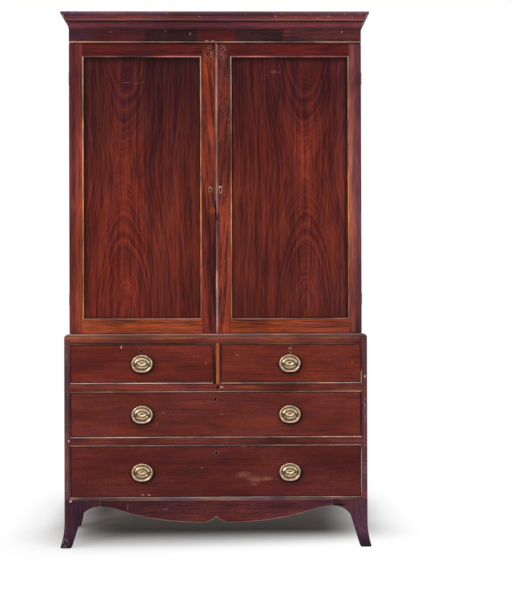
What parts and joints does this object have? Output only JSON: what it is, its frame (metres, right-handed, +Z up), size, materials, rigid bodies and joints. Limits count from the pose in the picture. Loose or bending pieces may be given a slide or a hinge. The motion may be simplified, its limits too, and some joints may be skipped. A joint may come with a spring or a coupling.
{
  "type": "linen press",
  "caption": "Two-door linen press cupboard with fitted trays over a chest of short and long drawers, with swinging oval handles, a moulded cornice and splayed bracket feet.",
  "frame": {"origin": "middle of the press's outline in plan, on the floor", "axes": "+Z up, the doors and drawers face -Y, +X to the right seen from the front"},
  "size_m": [1.22, 0.561, 2.1],
  "materials": {
    "carcass_veneer": "old polished dark mahogany veneer",
    "base_veneer": "old polished near-black mahogany",
    "door_frame_veneer": "polished orange-red mahogany",
    "door_panel_veneer": "polished figured mahogany veneer",
    "drawer_veneer": "polished straight-grained mahogany",
    "secondary_pine": "dry unpolished pine and oak",
    "brass": "worn lacquered brass"
  },
  "bodies": {
    "carcass": {"lower_side_left": "carcass_veneer", "lower_side_right": "carcass_veneer", "lower_top_board": "carcass_veneer", "lower_bottom_board": "carcass_veneer", "lower_back_board": "secondary_pine", "dust_board_upper": "drawer_veneer", "dust_board_lower": "drawer_veneer", "drawer_divider": "door_frame_veneer", "waist_moulding": "carcass_veneer", "front_apron": "base_veneer", "side_apron_left": "base_veneer", "side_apron_right": "base_veneer", "foot_front_left": "base_veneer", "foot_front_right": "base_veneer", "foot_rear_left": "base_veneer", "foot_rear_right": "base_veneer", "upper_side_left": "carcass_veneer", "upper_side_right": "carcass_veneer", "upper_top_board": "secondary_pine", "upper_bottom_board": "carcass_veneer", "upper_back_board": "secondary_pine", "frieze": "carcass_veneer", "cornice": "carcass_veneer", "tray_1": "secondary_pine", "tray_2": "secondary_pine", "tray_3": "secondary_pine", "tray_4": "secondary_pine", "hinge_case_leaf_left_top": "brass", "hinge_case_leaf_left_bottom": "brass", "hinge_case_leaf_right_top": "brass", "hinge_case_leaf_right_bottom": "brass"},
    "left_door": {"left_door_frame": "door_frame_veneer", "left_door_panel": "door_panel_veneer", "hinge_door_leaf_left_top": "brass", "hinge_door_leaf_left_bottom": "brass"},
    "right_door": {"right_door_frame": "door_frame_veneer", "right_door_panel": "door_panel_veneer", "hinge_door_leaf_right_top": "brass", "hinge_door_leaf_right_bottom": "brass", "meeting_bead": "door_frame_veneer"},
    "drawer_top_left": {"drawer_front_top_left": "drawer_veneer", "drawer_box_top_left": "secondary_pine", "handle_plate_top_left": "brass"},
    "drawer_top_right": {"drawer_front_top_right": "drawer_veneer", "drawer_box_top_right": "secondary_pine", "handle_plate_top_right": "brass"},
    "drawer_middle": {"drawer_front_middle": "drawer_veneer", "drawer_box_middle": "secondary_pine", "handle_plate_middle_left": "brass", "handle_plate_middle_right": "brass"},
    "drawer_bottom": {"drawer_front_bottom": "drawer_veneer", "drawer_box_bottom": "secondary_pine", "handle_plate_bottom_left": "brass", "handle_plate_bottom_right": "brass"},
    "bail_top_left": {"handle_bail_top_left": "brass"},
    "bail_top_right": {"handle_bail_top_right": "brass"},
    "bail_middle_left": {"handle_bail_middle_left": "brass"},
    "bail_middle_right": {"handle_bail_middle_right": "brass"},
    "bail_bottom_left": {"handle_bail_bottom_left": "brass"},
    "bail_bottom_right": {"handle_bail_bottom_right": "brass"}
  },
  "joints": [
    {"name": "left_door_hinge", "type": "hinge", "parent": "carcass", "child": "left_door", "pos_m": [-0.5758, -0.221, 1.4085], "axis": [0, 0, -1], "range_deg": [0, 180]},
    {"name": "right_door_hinge", "type": "hinge", "parent": "carcass", "child": "right_door", "pos_m": [0.5758, -0.221, 1.4085], "axis": [0, 0, 1], "range_deg": [0, 180]},
    {"name": "drawer_top_left_slide", "type": "slide", "parent": "carcass", "child": "drawer_top_left", "axis": [0, -1, 0], "range_m": [0, 0.4]},
    {"name": "drawer_top_right_slide", "type": "slide", "parent": "carcass", "child": "drawer_top_right", "axis": [0, -1, 0], "range_m": [0, 0.4]},
    {"name": "drawer_middle_slide", "type": "slide", "parent": "carcass", "child": "drawer_middle", "axis": [0, -1, 0], "range_m": [0, 0.4]},
    {"name": "drawer_bottom_slide", "type": "slide", "parent": "carcass", "child": "drawer_bottom", "axis": [0, -1, 0], "range_m": [0, 0.4]},
    {"name": "bail_top_left_hinge", "type": "hinge", "parent": "drawer_top_left", "child": "bail_top_left", "pos_m": [-0.29, -0.2753, 0.716], "axis": [-1, 0, 0], "range_deg": [0, 100]},
    {"name": "bail_top_right_hinge", "type": "hinge", "parent": "drawer_top_right", "child": "bail_top_right", "pos_m": [0.29, -0.2753, 0.716], "axis": [-1, 0, 0], "range_deg": [0, 100]},
    {"name": "bail_middle_left_hinge", "type": "hinge", "parent": "drawer_middle", "child": "bail_middle_left", "pos_m": [-0.29, -0.2753, 0.5165], "axis": [-1, 0, 0], "range_deg": [0, 100]},
    {"name": "bail_middle_right_hinge", "type": "hinge", "parent": "drawer_middle", "child": "bail_middle_right", "pos_m": [0.29, -0.2753, 0.5165], "axis": [-1, 0, 0], "range_deg": [0, 100]},
    {"name": "bail_bottom_left_hinge", "type": "hinge", "parent": "drawer_bottom", "child": "bail_bottom_left", "pos_m": [-0.29, -0.2753, 0.29], "axis": [-1, 0, 0], "range_deg": [0, 100]},
    {"name": "bail_bottom_right_hinge", "type": "hinge", "parent": "drawer_bottom", "child": "bail_bottom_right", "pos_m": [0.29, -0.2753, 0.29], "axis": [-1, 0, 0], "range_deg": [0, 100]}
  ]
}
